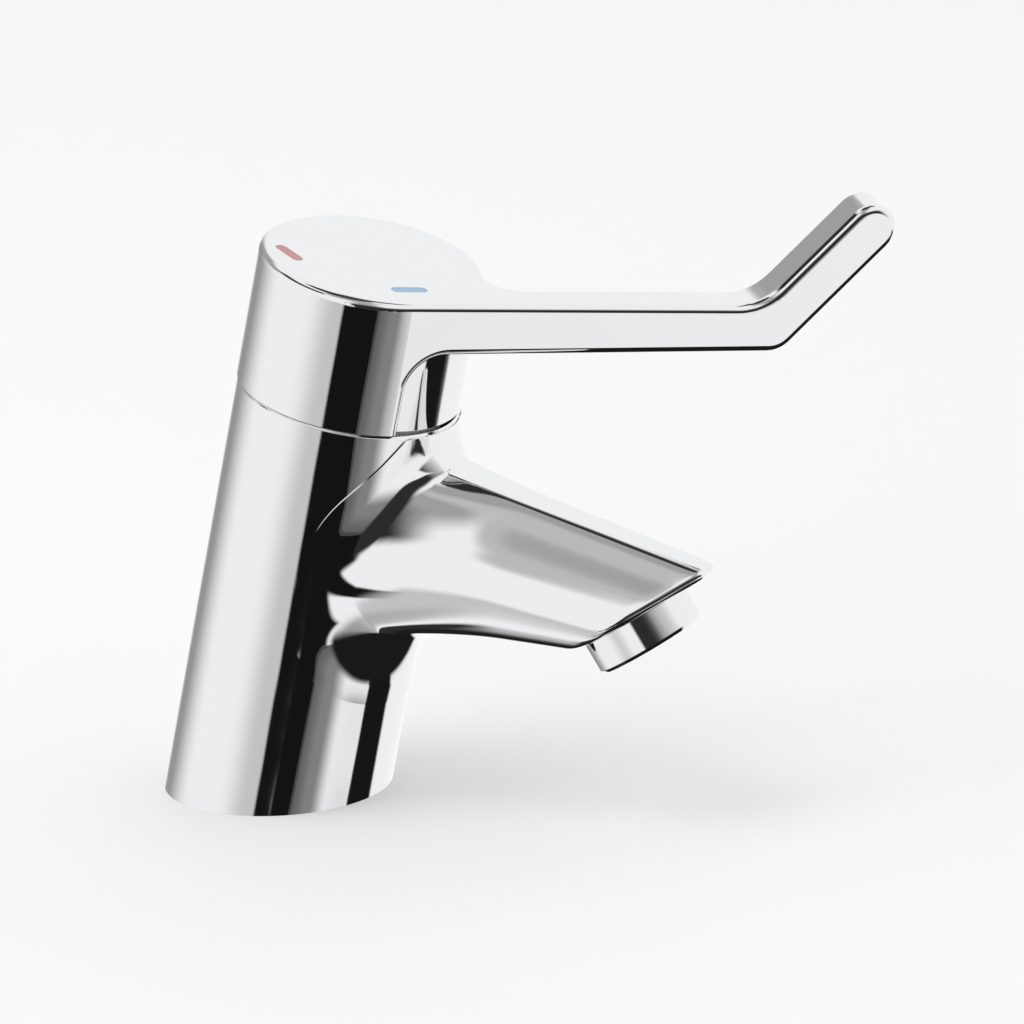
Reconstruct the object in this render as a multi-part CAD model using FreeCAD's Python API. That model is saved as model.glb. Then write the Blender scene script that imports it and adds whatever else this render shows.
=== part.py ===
import FreeCAD, Part
import math
import os

# Single-lever basin mixer tap with a leaning round body and a long cranked lever.
# Millimetres. The origin is the centre of the base face, +Z is up and the spout points along +X.
# A "height" below is measured from the origin along the leaning axis of the body.
# Turn angles are measured about that axis from the spout's side, anticlockwise from above.

# Body column
LEAN_ANGLE = 14.0
BODY_RADIUS = 25.0
SEAM_HEIGHT = 96.0
SEAM_GAP = 0.5
RIM_CHAMFER = 0.4

# Base recess, gasket, inlets and fixing hole
BASE_WALL = 5.0
BLOCK_THICKNESS = 30.0
GASKET_WIDTH = 2.0
GASKET_THICKNESS = 2.0
INLET_THREAD_RADIUS = 5.0
INLET_THREAD_DEPTH = 11.0
INLET_X = 5.0
INLET_SPACING = 17.0
PASSAGE_RADIUS = 3.4
STUD_THREAD_RADIUS = 4.0
STUD_THREAD_DEPTH = 12.0
STUD_X = -6.0
PASSAGE_OVERLAP = 0.05

# Spout outside. "Out" is ahead of the column's front point at the seam, "drop" is below it.
SPOUT_DROP = 46.1
SPOUT_DEPTH = 35.6
RIDGE_OUT = 0.6
RIDGE_SLOPE = 17.6
RIDGE_ROOT_HALF_WIDTH = 4.6
RIDGE_TIP_HALF_WIDTH = 3.2
RIDGE_EDGE_SOFTNESS = 1.7
RIDGE_ROOT_OUT = -3.5
RIDGE_MID_OUT = 19.5
UNDERSIDE_ROOT_OUT = -5.5
UNDERSIDE_MID_OUT = 13.5
UNDERSIDE_MID_SAG = 1.1
START_OUT = -22.5
START_SAG = 0.5
START_INSET = 4.5
BELLY_ROOT_INSET = 6.0
BELLY_MID_HALF_WIDTH = 16.3
BELLY_END_HALF_WIDTH = 14.7
ROOT_BLEND_RADIUS = 13.0
MOUTH_ROUNDING = 2.2

# Spout section: shares of its height, of its belly, and of the way from ridge to belly
KEEL_HEIGHT_SHARE = 0.105
KEEL_WIDTH_SHARE = 0.7
BELLY_HEIGHT_SHARE = 0.36
FLANK_HEIGHT_SHARE = 0.69
FLANK_WIDTH_SHARE = 0.6
CREST_SHARE = 0.3

# Steep shield between the seam and the start of the ridge
SHIELD_HALF_ANGLE = 24.0
SHIELD_TOP_DROP = 1.0
SHIELD_SINK = 0.05
SHIELD_FOOT_INSET = 0.6
SHIELD_FOOT_DROP = 1.2
SHIELD_FOOT_BULGE = 0.15

# Spout mouth and aerator
MOUTH_TILT = 30.4
MOUTH_OUT = 41.7
MOUTH_RISE = 5.2
MOUTH_LIP = 3.6
AERATOR_THREAD_RADIUS = 11.0
AERATOR_THREAD_LENGTH = 3.4
AERATOR_COLLAR_RADIUS = 13.0
AERATOR_COLLAR_LENGTH = 8.0
AERATOR_CHAMFER = 0.8
AERATOR_WALL = 1.8
AERATOR_INSERT_WALL = 1.2
AERATOR_RIM_WIDTH = 1.2
AERATOR_RIM_DEPTH = 1.6
JET_PLATE_DROP = 2.5
JET_PLATE_THICKNESS = 1.5
JET_COUNT = 6
JET_CIRCLE_RADIUS = 6.0
JET_RADIUS = 0.9
GRID_THICKNESS = 1.2
GRID_PITCH = 2.8
GRID_BAR = 0.6
GRID_RIM = 1.0
WASHER_THICKNESS = 0.8
MOUTH_CHAMBER_DEPTH = 3.0
MOUTH_CHAMBER_RADIUS = 8.5
GALLERY_RADIUS = 5.5

# Cartridge
CHAMBER_DEPTH = 36.0
CHAMBER_RADIUS = 17.6
PORT_TURN = 90.0
PORT_CIRCLE_RADIUS = 8.7
OUTLET_PORT_RADIUS = 3.5
OUTLET_WELL_DEPTH = 9.0
CARTRIDGE_BASE_THICKNESS = 6.0
HOUSING_WALL = 2.3
HOUSING_TOP_WALL = 3.0
NECK_RADIUS = 10.0
NECK_HEIGHT = 8.0
PORT_SEAL_THICKNESS = 0.8
FIXED_DISC_THICKNESS = 3.0
MOVING_DISC_THICKNESS = 4.0
MOVING_DISC_RADIUS = 13.6
CHANNEL_DEPTH = 2.2
PORT_INNER_RADIUS = 6.0
PORT_OUTER_RADIUS = 11.4
PORT_ARC = 40.0
LOBE_ARC = 45.0
CARRIER_THICKNESS = 4.0
PEG_RADIUS = 1.5
PEG_CIRCLE_RADIUS = 12.6
KEY_CIRCLE_RADIUS = 9.5
SEAL_SECTION = 1.6
INLET_SEAL_INNER_RADIUS = 3.6

# Stem
STEM_RADIUS = 6.0
SPLINE_RADIUS = 5.0
SPLINE_COUNT = 8
SPLINE_DEPTH = 0.5
FLANGE_RADIUS = 9.0
FLANGE_THICKNESS = 2.4
TANG_WIDTH = 6.0
TANG_LENGTH = 18.0
TANG_DEPTH = 2.6
SPLINE_ENGAGEMENT = 10.0
STEM_SEAL_SECTION = 1.2
CIRCLIP_THICKNESS = 0.9
CIRCLIP_WIDTH = 2.4
CIRCLIP_OPENING = 50.0

# Travel and its stop
TURN_RANGE = 95.0
LUG_TURN = 180.0
STOP_LUG_ARC = 30.0
STOP_LUG_REACH = 13.0
STOP_LEDGE_INNER_RADIUS = 11.0
STOP_SLACK = 1.0

# Retaining nut and guide ring
NUT_THREAD_RADIUS = 20.0
NUT_THICKNESS = 6.0
NUT_ACROSS_FLATS = 27.0
NUT_HEX_HEIGHT = 4.0
GUIDE_SPIGOT_DEPTH = 5.5
GUIDE_WALL = 1.5
GUIDE_HEIGHT = 5.0

# Handle cap
HANDLE_HEIGHT = 32.0
CAP_PROUD = 0.3
CAP_WALL = 3.0
CAP_TOP_WALL = 4.0
RELIEF_DEPTH = 2.0
RELIEF_SETBACK = 0.1
RELIEF_FADE = 0.76
RELIEF_FAR_OFFSET = 5.0
HUB_RADIUS = 11.5
HUB_CLEARANCE = 3.6
HUB_BORE_RADIUS = 7.0
INSERT_LENGTH = 12.0

# Handle lever, turned to the closed position
CLOSED_TURN = 45.0
LEVER_WIDTH = 9.8
LEVER_ROOT_THICKNESS = 12.4
LEVER_END_THICKNESS = 11.1
LEVER_BEND_X = 84.5
LEVER_BEND_RADIUS = 13.0
LEVER_HEEL_RADIUS = 7.0
LEVER_SIDE_BLEND = 6.0
HANDLE_EDGE_ROUNDING = 1.8
ARM_ANGLE = 50.5
ARM_LENGTH = 34.9
ARM_THICKNESS = 11.9
ARCH_X = 2.0
ARCH_RADIUS = 9.0

# Marks, grub screw and its plug
MARK_LENGTH = 8.4
MARK_WIDTH = 2.5
MARK_THICKNESS = 0.8
MARK_SINK = 0.05
BLUE_MARK_INSET = 8.5
BLUE_MARK_PLACE = -82.0
BLUE_MARK_TURN = 0.0
RED_MARK_INSET = 6.2
RED_MARK_PLACE = 171.0
RED_MARK_TURN = 105.0
SCREW_RADIUS = 2.5
SCREW_LENGTH = 7.0
SCREW_RISE = 8.0
SOCKET_RADIUS = 1.3
SOCKET_DEPTH = 2.5
PLUG_RADIUS = 2.8
PLUG_LENGTH = 3.0

# Clearances
RUNNING_FIT = 0.05
SLIDE_FIT = 0.1
AXIAL_FIT = 0.05
FREE_GAP = 0.4

# Places that follow from the body's radius and seam
TILT = math.radians(LEAN_ANGLE)
FRONT_X = BODY_RADIUS * math.cos(TILT) + SEAM_HEIGHT * math.sin(TILT)
FRONT_Z = SEAM_HEIGHT * math.cos(TILT) - BODY_RADIUS * math.sin(TILT)
RECESS_RADIUS = BODY_RADIUS - BASE_WALL
GASKET_RADIUS = BODY_RADIUS - BASE_WALL / 2
RIDGE_START_X = FRONT_X + RIDGE_OUT
RIDGE_START_Z = FRONT_Z - SPOUT_DROP + SPOUT_DEPTH
MOUTH_X = FRONT_X + MOUTH_OUT
MOUTH_Z = FRONT_Z - SPOUT_DROP + MOUTH_RISE

# Heights that stack up along the axis
CHAMBER_FLOOR = SEAM_HEIGHT - CHAMBER_DEPTH
RECESS_CEILING = CHAMBER_FLOOR - BLOCK_THICKNESS
BASE_TOP = CHAMBER_FLOOR + CARTRIDGE_BASE_THICKNESS
FIXED_DISC_LOW = BASE_TOP + PORT_SEAL_THICKNESS
FIXED_DISC_TOP = FIXED_DISC_LOW + FIXED_DISC_THICKNESS
MOVING_DISC_LOW = FIXED_DISC_TOP + AXIAL_FIT
MOVING_DISC_TOP = MOVING_DISC_LOW + MOVING_DISC_THICKNESS
CARRIER_LOW = MOVING_DISC_TOP + AXIAL_FIT
CARRIER_TOP = CARRIER_LOW + CARRIER_THICKNESS
FLANGE_LOW = CARRIER_TOP + AXIAL_FIT
FLANGE_TOP = FLANGE_LOW + FLANGE_THICKNESS
HOUSING_CEILING = FLANGE_TOP + AXIAL_FIT
HOUSING_TOP = HOUSING_CEILING + HOUSING_TOP_WALL
NECK_TOP = HOUSING_TOP + NECK_HEIGHT
HOUSING_FOOT = BASE_TOP - 1.0
HOUSING_RADIUS = CHAMBER_RADIUS - SLIDE_FIT
HOUSING_INNER_RADIUS = HOUSING_RADIUS - HOUSING_WALL
HOUSING_SEAL_LOW = HOUSING_FOOT + 3.0
NUT_SEAT = HOUSING_TOP - 0.2
HUB_FOOT = HOUSING_TOP + NUT_THICKNESS + NUT_HEX_HEIGHT + HUB_CLEARANCE
STEM_TOP = HUB_FOOT + SPLINE_ENGAGEMENT
SCREW_HEIGHT = HUB_FOOT + SCREW_RISE
HANDLE_TOP = SEAM_HEIGHT + HANDLE_HEIGHT
CAP_RADIUS = BODY_RADIUS + CAP_PROUD
CAP_FOOT = SEAM_HEIGHT + SEAM_GAP
CAP_INNER_RADIUS = CAP_RADIUS - CAP_WALL


def point(x, y, z):
    return FreeCAD.Vector(x, y, z)


def export(shape, name):
    shape.exportStep(os.path.join("parts", name + ".step"))


def lean(shape):
    """Turns a shape from the upright axis frame into the leaning one."""
    turned = shape.copy()
    turned.rotate(point(0, 0, 0), point(0, 1, 0), LEAN_ANGLE)
    return turned


def swing(shape):
    """Places a shape drawn with the lever along X at the closed position."""
    turned = shape.copy()
    turned.rotate(point(0, 0, 0), point(0, 0, 1), CLOSED_TURN)
    return lean(turned)


def lean_point(x, y, z):
    return FreeCAD.Rotation(point(0, 1, 0), LEAN_ANGLE).multVec(point(x, y, z))


def polar(radius, angle, z):
    turn = math.radians(angle)
    return point(radius * math.cos(turn), radius * math.sin(turn), z)


def disc(radius, low, high):
    return Part.makeCylinder(radius, high - low, point(0, 0, low))


def ring(inner, outer, low, high):
    return disc(outer, low, high).cut(disc(inner, low - 1, high + 1))


def rod(start, end, radius):
    along = end - start
    return Part.makeCylinder(radius, along.Length, start, along)


def peg(radius, at, low, high):
    return Part.makeCylinder(radius, high - low, point(at.x, at.y, low))


def ring_sector(inner, outer, low, high, middle, arc):
    """Part of a flat ring, centred on an angle."""
    corners = [polar(inner, middle - arc / 2, low), polar(outer, middle - arc / 2, low)]
    section = Part.makePolygon([corners[0], corners[1], corners[1] + point(0, 0, high - low),
                                corners[0] + point(0, 0, high - low), corners[0]])
    return Part.Face(section).revolve(point(0, 0, 0), point(0, 0, 1), arc)


def rounded_path(corners, radii):
    """A closed wire of straight runs with a tangent arc at each corner."""
    edges = []
    starts = []
    ends = []
    count = len(corners)
    for i in range(count):
        back = (corners[i - 1] - corners[i]).normalize()
        ahead = (corners[(i + 1) % count] - corners[i]).normalize()
        half = math.acos(back.dot(ahead)) / 2
        reach = radii[i] / math.tan(half)
        starts.append(corners[i] + back * reach)
        ends.append(corners[i] + ahead * reach)
        if radii[i] > 0:
            middle = (back + ahead).normalize() * (radii[i] / math.sin(half) - radii[i])
            edges.append(Part.Arc(starts[i], corners[i] + middle, ends[i]).toShape())
    for i in range(count):
        following = starts[(i + 1) % count]
        if (following - ends[i]).Length > 1e-6:
            edges.append(Part.makeLine(ends[i], following))
    return Part.Wire(Part.sortEdges(edges)[0])


def soften(shape, radius, wanted, least=0.0):
    """Rounds the edges longer than a length whose sampled points all pass a test."""
    chosen = []
    for edge in shape.Edges:
        span = edge.LastParameter - edge.FirstParameter
        samples = [edge.valueAt(edge.FirstParameter + span * k / 6) for k in range(7)]
        if edge.Length > least and all(wanted(sample) for sample in samples):
            chosen.append(edge)
    return shape.makeFillet(radius, chosen)


def axis_height(place):
    return place.dot(lean_point(0, 0, 1))


def axis_distance(place):
    return (place - lean_point(0, 0, 1) * axis_height(place)).Length


def mouth_point(along, out=0.0):
    """A point of the mouth's plane: along it towards the tip, and out of the spout."""
    tilt = math.radians(MOUTH_TILT)
    x = MOUTH_X + along * math.cos(tilt) + out * math.sin(tilt)
    z = MOUTH_Z + along * math.sin(tilt) - out * math.cos(tilt)
    return point(x, 0, z)


def mouth_frame(shape):
    """Places a shape drawn downwards from Z = 0 on the mouth's axis."""
    turned = shape.copy()
    turned.rotate(point(0, 0, 0), point(0, 1, 0), -MOUTH_TILT)
    turned.translate(mouth_point(0))
    return turned


def from_front(out, drop):
    """A point in the middle plane, placed from the column's front point at the seam."""
    return point(FRONT_X + out, 0, FRONT_Z - drop)


def ridge_point(x):
    return point(x, 0, RIDGE_START_Z - (x - RIDGE_START_X) * math.tan(math.radians(RIDGE_SLOPE)))


def ridge_end():
    """Where the ridge line meets the mouth's plane."""
    tilt = math.tan(math.radians(MOUTH_TILT))
    slope = math.tan(math.radians(RIDGE_SLOPE))
    rise = RIDGE_START_Z + slope * RIDGE_START_X - MOUTH_Z + tilt * MOUTH_X
    return ridge_point(rise / (tilt + slope))


def spout_section(bottom, top, belly, ridge):
    """A closed outline: flat ridge on soft edges, sloping flanks and a round belly."""
    rise = top - bottom
    side = point(0, 1, 0)
    flank = [(0.0, 0.0), (KEEL_WIDTH_SHARE * belly, KEEL_HEIGHT_SHARE), (belly, BELLY_HEIGHT_SHARE),
             (ridge + FLANK_WIDTH_SHARE * (belly - ridge), FLANK_HEIGHT_SHARE)]
    drop = RIDGE_EDGE_SOFTNESS / rise.Length
    edges = []
    for hand in (1, -1):
        places = [bottom + rise * share + side * (hand * width) for width, share in flank]
        slope = (top + side * (hand * ridge) - places[3]).normalize()
        places.append(top + side * (hand * ridge) - slope * RIDGE_EDGE_SOFTNESS)
        curve = Part.BSplineCurve()
        curve.interpolate(places, InitialTangent=side * hand, FinalTangent=slope)
        edges.append(curve.toShape())
        crest = top + side * (hand * (ridge - RIDGE_EDGE_SOFTNESS))
        middle = top + side * (hand * (ridge - CREST_SHARE * RIDGE_EDGE_SOFTNESS))
        middle = middle - rise * (CREST_SHARE * drop)
        edges.append(Part.Arc(places[-1], middle, crest).toShape())
    inner = ridge - RIDGE_EDGE_SOFTNESS
    edges.append(Part.makeLine(top + side * inner, top - side * inner))
    return Part.Wire(Part.sortEdges(edges)[0])


def spout_solid():
    heel = mouth_point(-(AERATOR_THREAD_RADIUS + MOUTH_LIP))
    middle_ridge = (RIDGE_ROOT_HALF_WIDTH + RIDGE_TIP_HALF_WIDTH) / 2
    sections = [
        spout_section(from_front(START_OUT, SPOUT_DROP + START_SAG), ridge_point(FRONT_X + START_OUT),
                      BODY_RADIUS - START_INSET, RIDGE_ROOT_HALF_WIDTH),
        spout_section(from_front(UNDERSIDE_ROOT_OUT, SPOUT_DROP),
                      ridge_point(FRONT_X + RIDGE_ROOT_OUT),
                      BODY_RADIUS - BELLY_ROOT_INSET, RIDGE_ROOT_HALF_WIDTH),
        spout_section(from_front(UNDERSIDE_MID_OUT, SPOUT_DROP + UNDERSIDE_MID_SAG),
                      ridge_point(FRONT_X + RIDGE_MID_OUT), BELLY_MID_HALF_WIDTH, middle_ridge),
        spout_section(heel, ridge_end(), BELLY_END_HALF_WIDTH, RIDGE_TIP_HALF_WIDTH),
    ]
    return Part.makeLoft(sections, True, False)


def shield_solid():
    """The steep face between the seam and the start of the ridge."""
    top = SEAM_HEIGHT - SHIELD_TOP_DROP
    arc_points = [lean_point(*polar(BODY_RADIUS - SHIELD_SINK, turn, top))
                  for turn in (-SHIELD_HALF_ANGLE, 0, SHIELD_HALF_ANGLE)]
    behind = lean_point(BODY_RADIUS / 2, 0, top)
    upper = Part.Wire([Part.Arc(*arc_points).toShape(), Part.makeLine(arc_points[2], behind),
                       Part.makeLine(behind, arc_points[0])])
    width = point(0, RIDGE_ROOT_HALF_WIDTH - SHIELD_FOOT_INSET, 0)
    foot = ridge_point(RIDGE_START_X) - point(0, 0, SHIELD_FOOT_DROP)
    middle = foot + point(SHIELD_FOOT_BULGE, 0, 0)
    foot_behind = point(BODY_RADIUS, 0, foot.z)
    lower = Part.Wire([Part.Arc(foot - width, middle, foot + width).toShape(),
                       Part.makeLine(foot + width, foot_behind),
                       Part.makeLine(foot_behind, foot - width)])
    return Part.makeLoft([upper, lower], True, True)


def body_outside():
    column = Part.makeCylinder(BODY_RADIUS, SEAM_HEIGHT + BODY_RADIUS, point(0, 0, -BODY_RADIUS))
    rim = [edge for edge in column.Edges if abs(edge.CenterOfMass.z - SEAM_HEIGHT) < 0.01]
    column = column.makeChamfer(RIM_CHAMFER, rim[:1])
    column.rotate(point(0, 0, 0), point(0, 0, 1), 180)
    above_deck = Part.makeBox(4 * BODY_RADIUS, 4 * BODY_RADIUS, 2 * SEAM_HEIGHT,
                              point(-2 * BODY_RADIUS, -2 * BODY_RADIUS, 0))
    return lean(column).common(above_deck).fuse([spout_solid(), shield_solid()])


def round_outside(casting):
    """Blends the spout into the column and rounds the mouth's edge."""
    def at_root(place):
        on_wall = abs(axis_distance(place) - BODY_RADIUS) < 0.01
        return on_wall and RECESS_CEILING < place.z < FRONT_Z - SHIELD_TOP_DROP

    def at_mouth(place):
        from_middle = place - mouth_point(0)
        in_plane = abs(from_middle.dot(mouth_point(0, 1) - mouth_point(0))) < 0.01
        return in_plane and from_middle.Length > AERATOR_THREAD_RADIUS + 0.5

    blended = soften(casting, ROOT_BLEND_RADIUS, at_root, BODY_RADIUS)
    return soften(blended, MOUTH_ROUNDING, at_mouth)


def body_casting():
    low = -2 * BODY_RADIUS
    ceiling = Part.makeBox(4 * BODY_RADIUS, 4 * BODY_RADIUS, RECESS_CEILING + BODY_RADIUS,
                           point(low, low, -BODY_RADIUS))
    recess = lean(disc(RECESS_RADIUS, low, SEAM_HEIGHT)).common(ceiling)
    bores = [recess, base_ring(GASKET_WIDTH + 2 * SLIDE_FIT)]
    bores.append(lean(disc(CHAMBER_RADIUS, CHAMBER_FLOOR, SEAM_HEIGHT + 1)))
    bores.append(lean(disc(NUT_THREAD_RADIUS, NUT_SEAT, SEAM_HEIGHT + 1)))
    for hand in (1, -1):
        mouth = point(INLET_X, hand * INLET_SPACING / 2, RECESS_CEILING)
        port = lean_point(0, hand * PORT_CIRCLE_RADIUS, CHAMBER_FLOOR)
        root = mouth + point(0, 0, INLET_THREAD_DEPTH)
        bores.append(rod(mouth - point(0, 0, 1), root, INLET_THREAD_RADIUS))
        bores.append(Part.makeSphere(PASSAGE_RADIUS, root))
        bores.append(rod(root, port + (port - root) * PASSAGE_OVERLAP, PASSAGE_RADIUS))
    stud = point(STUD_X, 0, RECESS_CEILING)
    bores.append(rod(stud - point(0, 0, 1), stud + point(0, 0, STUD_THREAD_DEPTH), STUD_THREAD_RADIUS))
    well = lean_point(0, 0, CHAMBER_FLOOR - OUTLET_WELL_DEPTH)
    bores.append(lean(disc(OUTLET_PORT_RADIUS, CHAMBER_FLOOR - OUTLET_WELL_DEPTH, CHAMBER_FLOOR + 1)))
    bores.append(Part.makeSphere(OUTLET_PORT_RADIUS, well))
    top = mouth_point(0, -(AERATOR_THREAD_LENGTH + WASHER_THICKNESS))
    chamber_top = mouth_point(0, -(AERATOR_THREAD_LENGTH + WASHER_THICKNESS + MOUTH_CHAMBER_DEPTH))
    gallery_end = (top + chamber_top) * 0.5
    widening = lean_point(BODY_RADIUS * 0.62, 0, 0)
    gallery_start = well + point(widening.x, 0, 0)
    bores.append(rod(well, gallery_start, OUTLET_PORT_RADIUS))
    bores.append(rod(gallery_start, gallery_end, GALLERY_RADIUS))
    bores.append(rod(mouth_point(0, 1), top, AERATOR_THREAD_RADIUS + RUNNING_FIT))
    bores.append(rod(top, chamber_top, MOUTH_CHAMBER_RADIUS))
    return round_outside(body_outside().cut(bores[0].fuse(bores[1:])))


def base_ring(width):
    """The gasket's ring in the base face, or its slightly wider groove."""
    middle = GASKET_RADIUS
    return ring(middle - width / 2, middle + width / 2, 0, GASKET_THICKNESS)


def port_places():
    return [polar(PORT_CIRCLE_RADIUS, turn, 0) for turn in (PORT_TURN, -PORT_TURN)]


def kidney(middle, low, high):
    return ring_sector(PORT_INNER_RADIUS, PORT_OUTER_RADIUS, low, high, middle, PORT_ARC)


def cartridge_base():
    groove = SEAL_SECTION
    body = disc(HOUSING_RADIUS, CHAMBER_FLOOR, HOUSING_FOOT)
    body = body.fuse(disc(HOUSING_INNER_RADIUS - SLIDE_FIT, HOUSING_FOOT, BASE_TOP))
    split = CHAMBER_FLOOR + CARTRIDGE_BASE_THICKNESS / 2
    seal_radius = INLET_SEAL_INNER_RADIUS + groove + RUNNING_FIT
    for place, middle in zip(port_places(), (PORT_TURN, -PORT_TURN)):
        body = body.cut(peg(PASSAGE_RADIUS, place, CHAMBER_FLOOR, split + 0.5))
        body = body.cut(kidney(middle, split, BASE_TOP))
        body = body.cut(peg(seal_radius, place, CHAMBER_FLOOR, CHAMBER_FLOOR + groove))
    body = body.cut(disc(OUTLET_PORT_RADIUS, CHAMBER_FLOOR, BASE_TOP))
    for side in (0, 180):
        place = polar(PEG_CIRCLE_RADIUS, side, 0)
        body = body.fuse(peg(PEG_RADIUS, place, BASE_TOP, FIXED_DISC_TOP - 0.6))
    return body


def plate_with_ports(radius, low, high):
    """A round plate with the outlet, both inlet ports and the peg holes."""
    plate = ring(OUTLET_PORT_RADIUS, radius, low, high)
    for middle in (PORT_TURN, -PORT_TURN):
        plate = plate.cut(kidney(middle, low - 1, high + 1))
    for side in (0, 180):
        place = polar(PEG_CIRCLE_RADIUS, side, 0)
        plate = plate.cut(peg(PEG_RADIUS + RUNNING_FIT, place, low - 1, high + 1))
    return plate


def moving_disc():
    """The turning ceramic disc: a blind bow-tie channel joins one port at a time to the outlet."""
    body = disc(MOVING_DISC_RADIUS, MOVING_DISC_LOW, MOVING_DISC_TOP)
    channel_top = MOVING_DISC_LOW + CHANNEL_DEPTH
    half_turn = TURN_RANGE / 2
    body = body.cut(disc(OUTLET_PORT_RADIUS + 1, MOVING_DISC_LOW, channel_top))
    for middle in (PORT_TURN + half_turn, TURN_RANGE - PORT_TURN):
        lobe = ring_sector(1.0, PORT_OUTER_RADIUS, MOVING_DISC_LOW, channel_top, middle, LOBE_ARC)
        body = body.cut(lobe)
    for side in (CLOSED_TURN, CLOSED_TURN + 180):
        place = polar(KEY_CIRCLE_RADIUS, side, 0)
        body = body.cut(peg(PEG_RADIUS + RUNNING_FIT, place, channel_top + 0.5, MOVING_DISC_TOP))
    return body


def disc_carrier():
    radius = HOUSING_INNER_RADIUS - FREE_GAP
    body = disc(radius, CARRIER_LOW, CARRIER_TOP)
    slot = Part.makeBox(TANG_LENGTH + 2 * RUNNING_FIT, TANG_WIDTH + 2 * RUNNING_FIT, TANG_DEPTH + 1)
    slot.translate(point(-TANG_LENGTH / 2 - RUNNING_FIT, -TANG_WIDTH / 2 - RUNNING_FIT,
                         CARRIER_TOP - TANG_DEPTH))
    body = body.cut(slot)
    for side in (0, 180):
        place = polar(KEY_CIRCLE_RADIUS, side, 0)
        body = body.fuse(peg(PEG_RADIUS, place, MOVING_DISC_LOW + CHANNEL_DEPTH + 0.6, CARRIER_LOW))
    return body


def stem():
    body = disc(FLANGE_RADIUS, FLANGE_LOW, FLANGE_TOP)
    lug = ring_sector(STEM_RADIUS, STOP_LUG_REACH, FLANGE_LOW, FLANGE_TOP,
                      LUG_TURN - CLOSED_TURN, STOP_LUG_ARC)
    tang = Part.makeBox(TANG_LENGTH, TANG_WIDTH, TANG_DEPTH)
    tang.translate(point(-TANG_LENGTH / 2, -TANG_WIDTH / 2, FLANGE_LOW - TANG_DEPTH))
    shoulder = NECK_TOP + CIRCLIP_THICKNESS + 4 * AXIAL_FIT
    body = body.fuse([lug, tang, disc(STEM_RADIUS, FLANGE_TOP, shoulder + 0.6)])
    body = body.fuse(disc(SPLINE_RADIUS, shoulder, STEM_TOP))
    body = body.cut(ring(SPLINE_RADIUS, STEM_RADIUS + 1, NECK_TOP + AXIAL_FIT, shoulder))
    low = stem_seal_low() - SLIDE_FIT
    high = stem_seal_low() + STEM_SEAL_SECTION + SLIDE_FIT
    body = body.cut(ring(STEM_RADIUS - STEM_SEAL_SECTION, STEM_RADIUS + 1, low, high))
    for k in range(SPLINE_COUNT):
        place = polar(SPLINE_RADIUS + SPLINE_DEPTH / 2, 360 * k / SPLINE_COUNT, 0)
        body = body.cut(peg(SPLINE_DEPTH, place, shoulder + 0.6, STEM_TOP + 1))
    return body


def stem_seal_low():
    return HOUSING_TOP + NECK_HEIGHT / 2


def cartridge_housing():
    body = disc(HOUSING_RADIUS, HOUSING_FOOT, HOUSING_TOP)
    body = body.cut(disc(HOUSING_INNER_RADIUS, HOUSING_FOOT - 1, HOUSING_CEILING))
    body = body.fuse(disc(NECK_RADIUS, HOUSING_TOP, NECK_TOP))
    body = body.cut(disc(STEM_RADIUS + RUNNING_FIT, HOUSING_CEILING - 1, NECK_TOP + 1))
    free_arc = TURN_RANGE + STOP_LUG_ARC + 2 * STOP_SLACK
    ledge_middle = LUG_TURN - TURN_RANGE / 2 + 180
    ledge = ring_sector(STOP_LEDGE_INNER_RADIUS, HOUSING_INNER_RADIUS + HOUSING_WALL / 2,
                        FLANGE_LOW + 2 * AXIAL_FIT, HOUSING_CEILING + 0.5, ledge_middle, 360 - free_arc)
    body = body.fuse(ledge)
    groove = SEAL_SECTION
    low = HOUSING_SEAL_LOW - SLIDE_FIT
    high = HOUSING_SEAL_LOW + groove + SLIDE_FIT
    return body.cut(ring(HOUSING_RADIUS - groove + SLIDE_FIT, HOUSING_RADIUS + 1, low, high))


def retaining_nut():
    thread = disc(NUT_THREAD_RADIUS - RUNNING_FIT, HOUSING_TOP, HOUSING_TOP + NUT_THICKNESS)
    corner = NUT_ACROSS_FLATS / math.sqrt(3)
    corners = [polar(corner, 60 * k, HOUSING_TOP + NUT_THICKNESS) for k in range(7)]
    head = Part.Face(Part.makePolygon(corners)).extrude(point(0, 0, NUT_HEX_HEIGHT))
    top = HOUSING_TOP + NUT_THICKNESS + NUT_HEX_HEIGHT
    return thread.fuse(head).cut(disc(NECK_RADIUS + SLIDE_FIT, HOUSING_TOP - 1, top + 1))


def guide_ring():
    outer = CAP_INNER_RADIUS - RUNNING_FIT
    spigot_outer = NUT_THREAD_RADIUS - SLIDE_FIT
    spigot = ring(spigot_outer - GUIDE_WALL, spigot_outer, SEAM_HEIGHT - GUIDE_SPIGOT_DEPTH, SEAM_HEIGHT)
    flange = ring(spigot_outer - GUIDE_WALL, outer, SEAM_HEIGHT, SEAM_HEIGHT + 1)
    collar = ring(outer - GUIDE_WALL, outer, SEAM_HEIGHT + 1, SEAM_HEIGHT + GUIDE_HEIGHT)
    return spigot.fuse([flange, collar])


def circlip():
    low = NECK_TOP + 2 * AXIAL_FIT
    outer = SPLINE_RADIUS + CIRCLIP_WIDTH
    whole = ring(SPLINE_RADIUS + RUNNING_FIT, outer, low, low + CIRCLIP_THICKNESS)
    opening = ring_sector(SPLINE_RADIUS - 1, outer + 1, low - 1, low + 2, LUG_TURN, CIRCLIP_OPENING)
    return whole.cut(opening)


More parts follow.
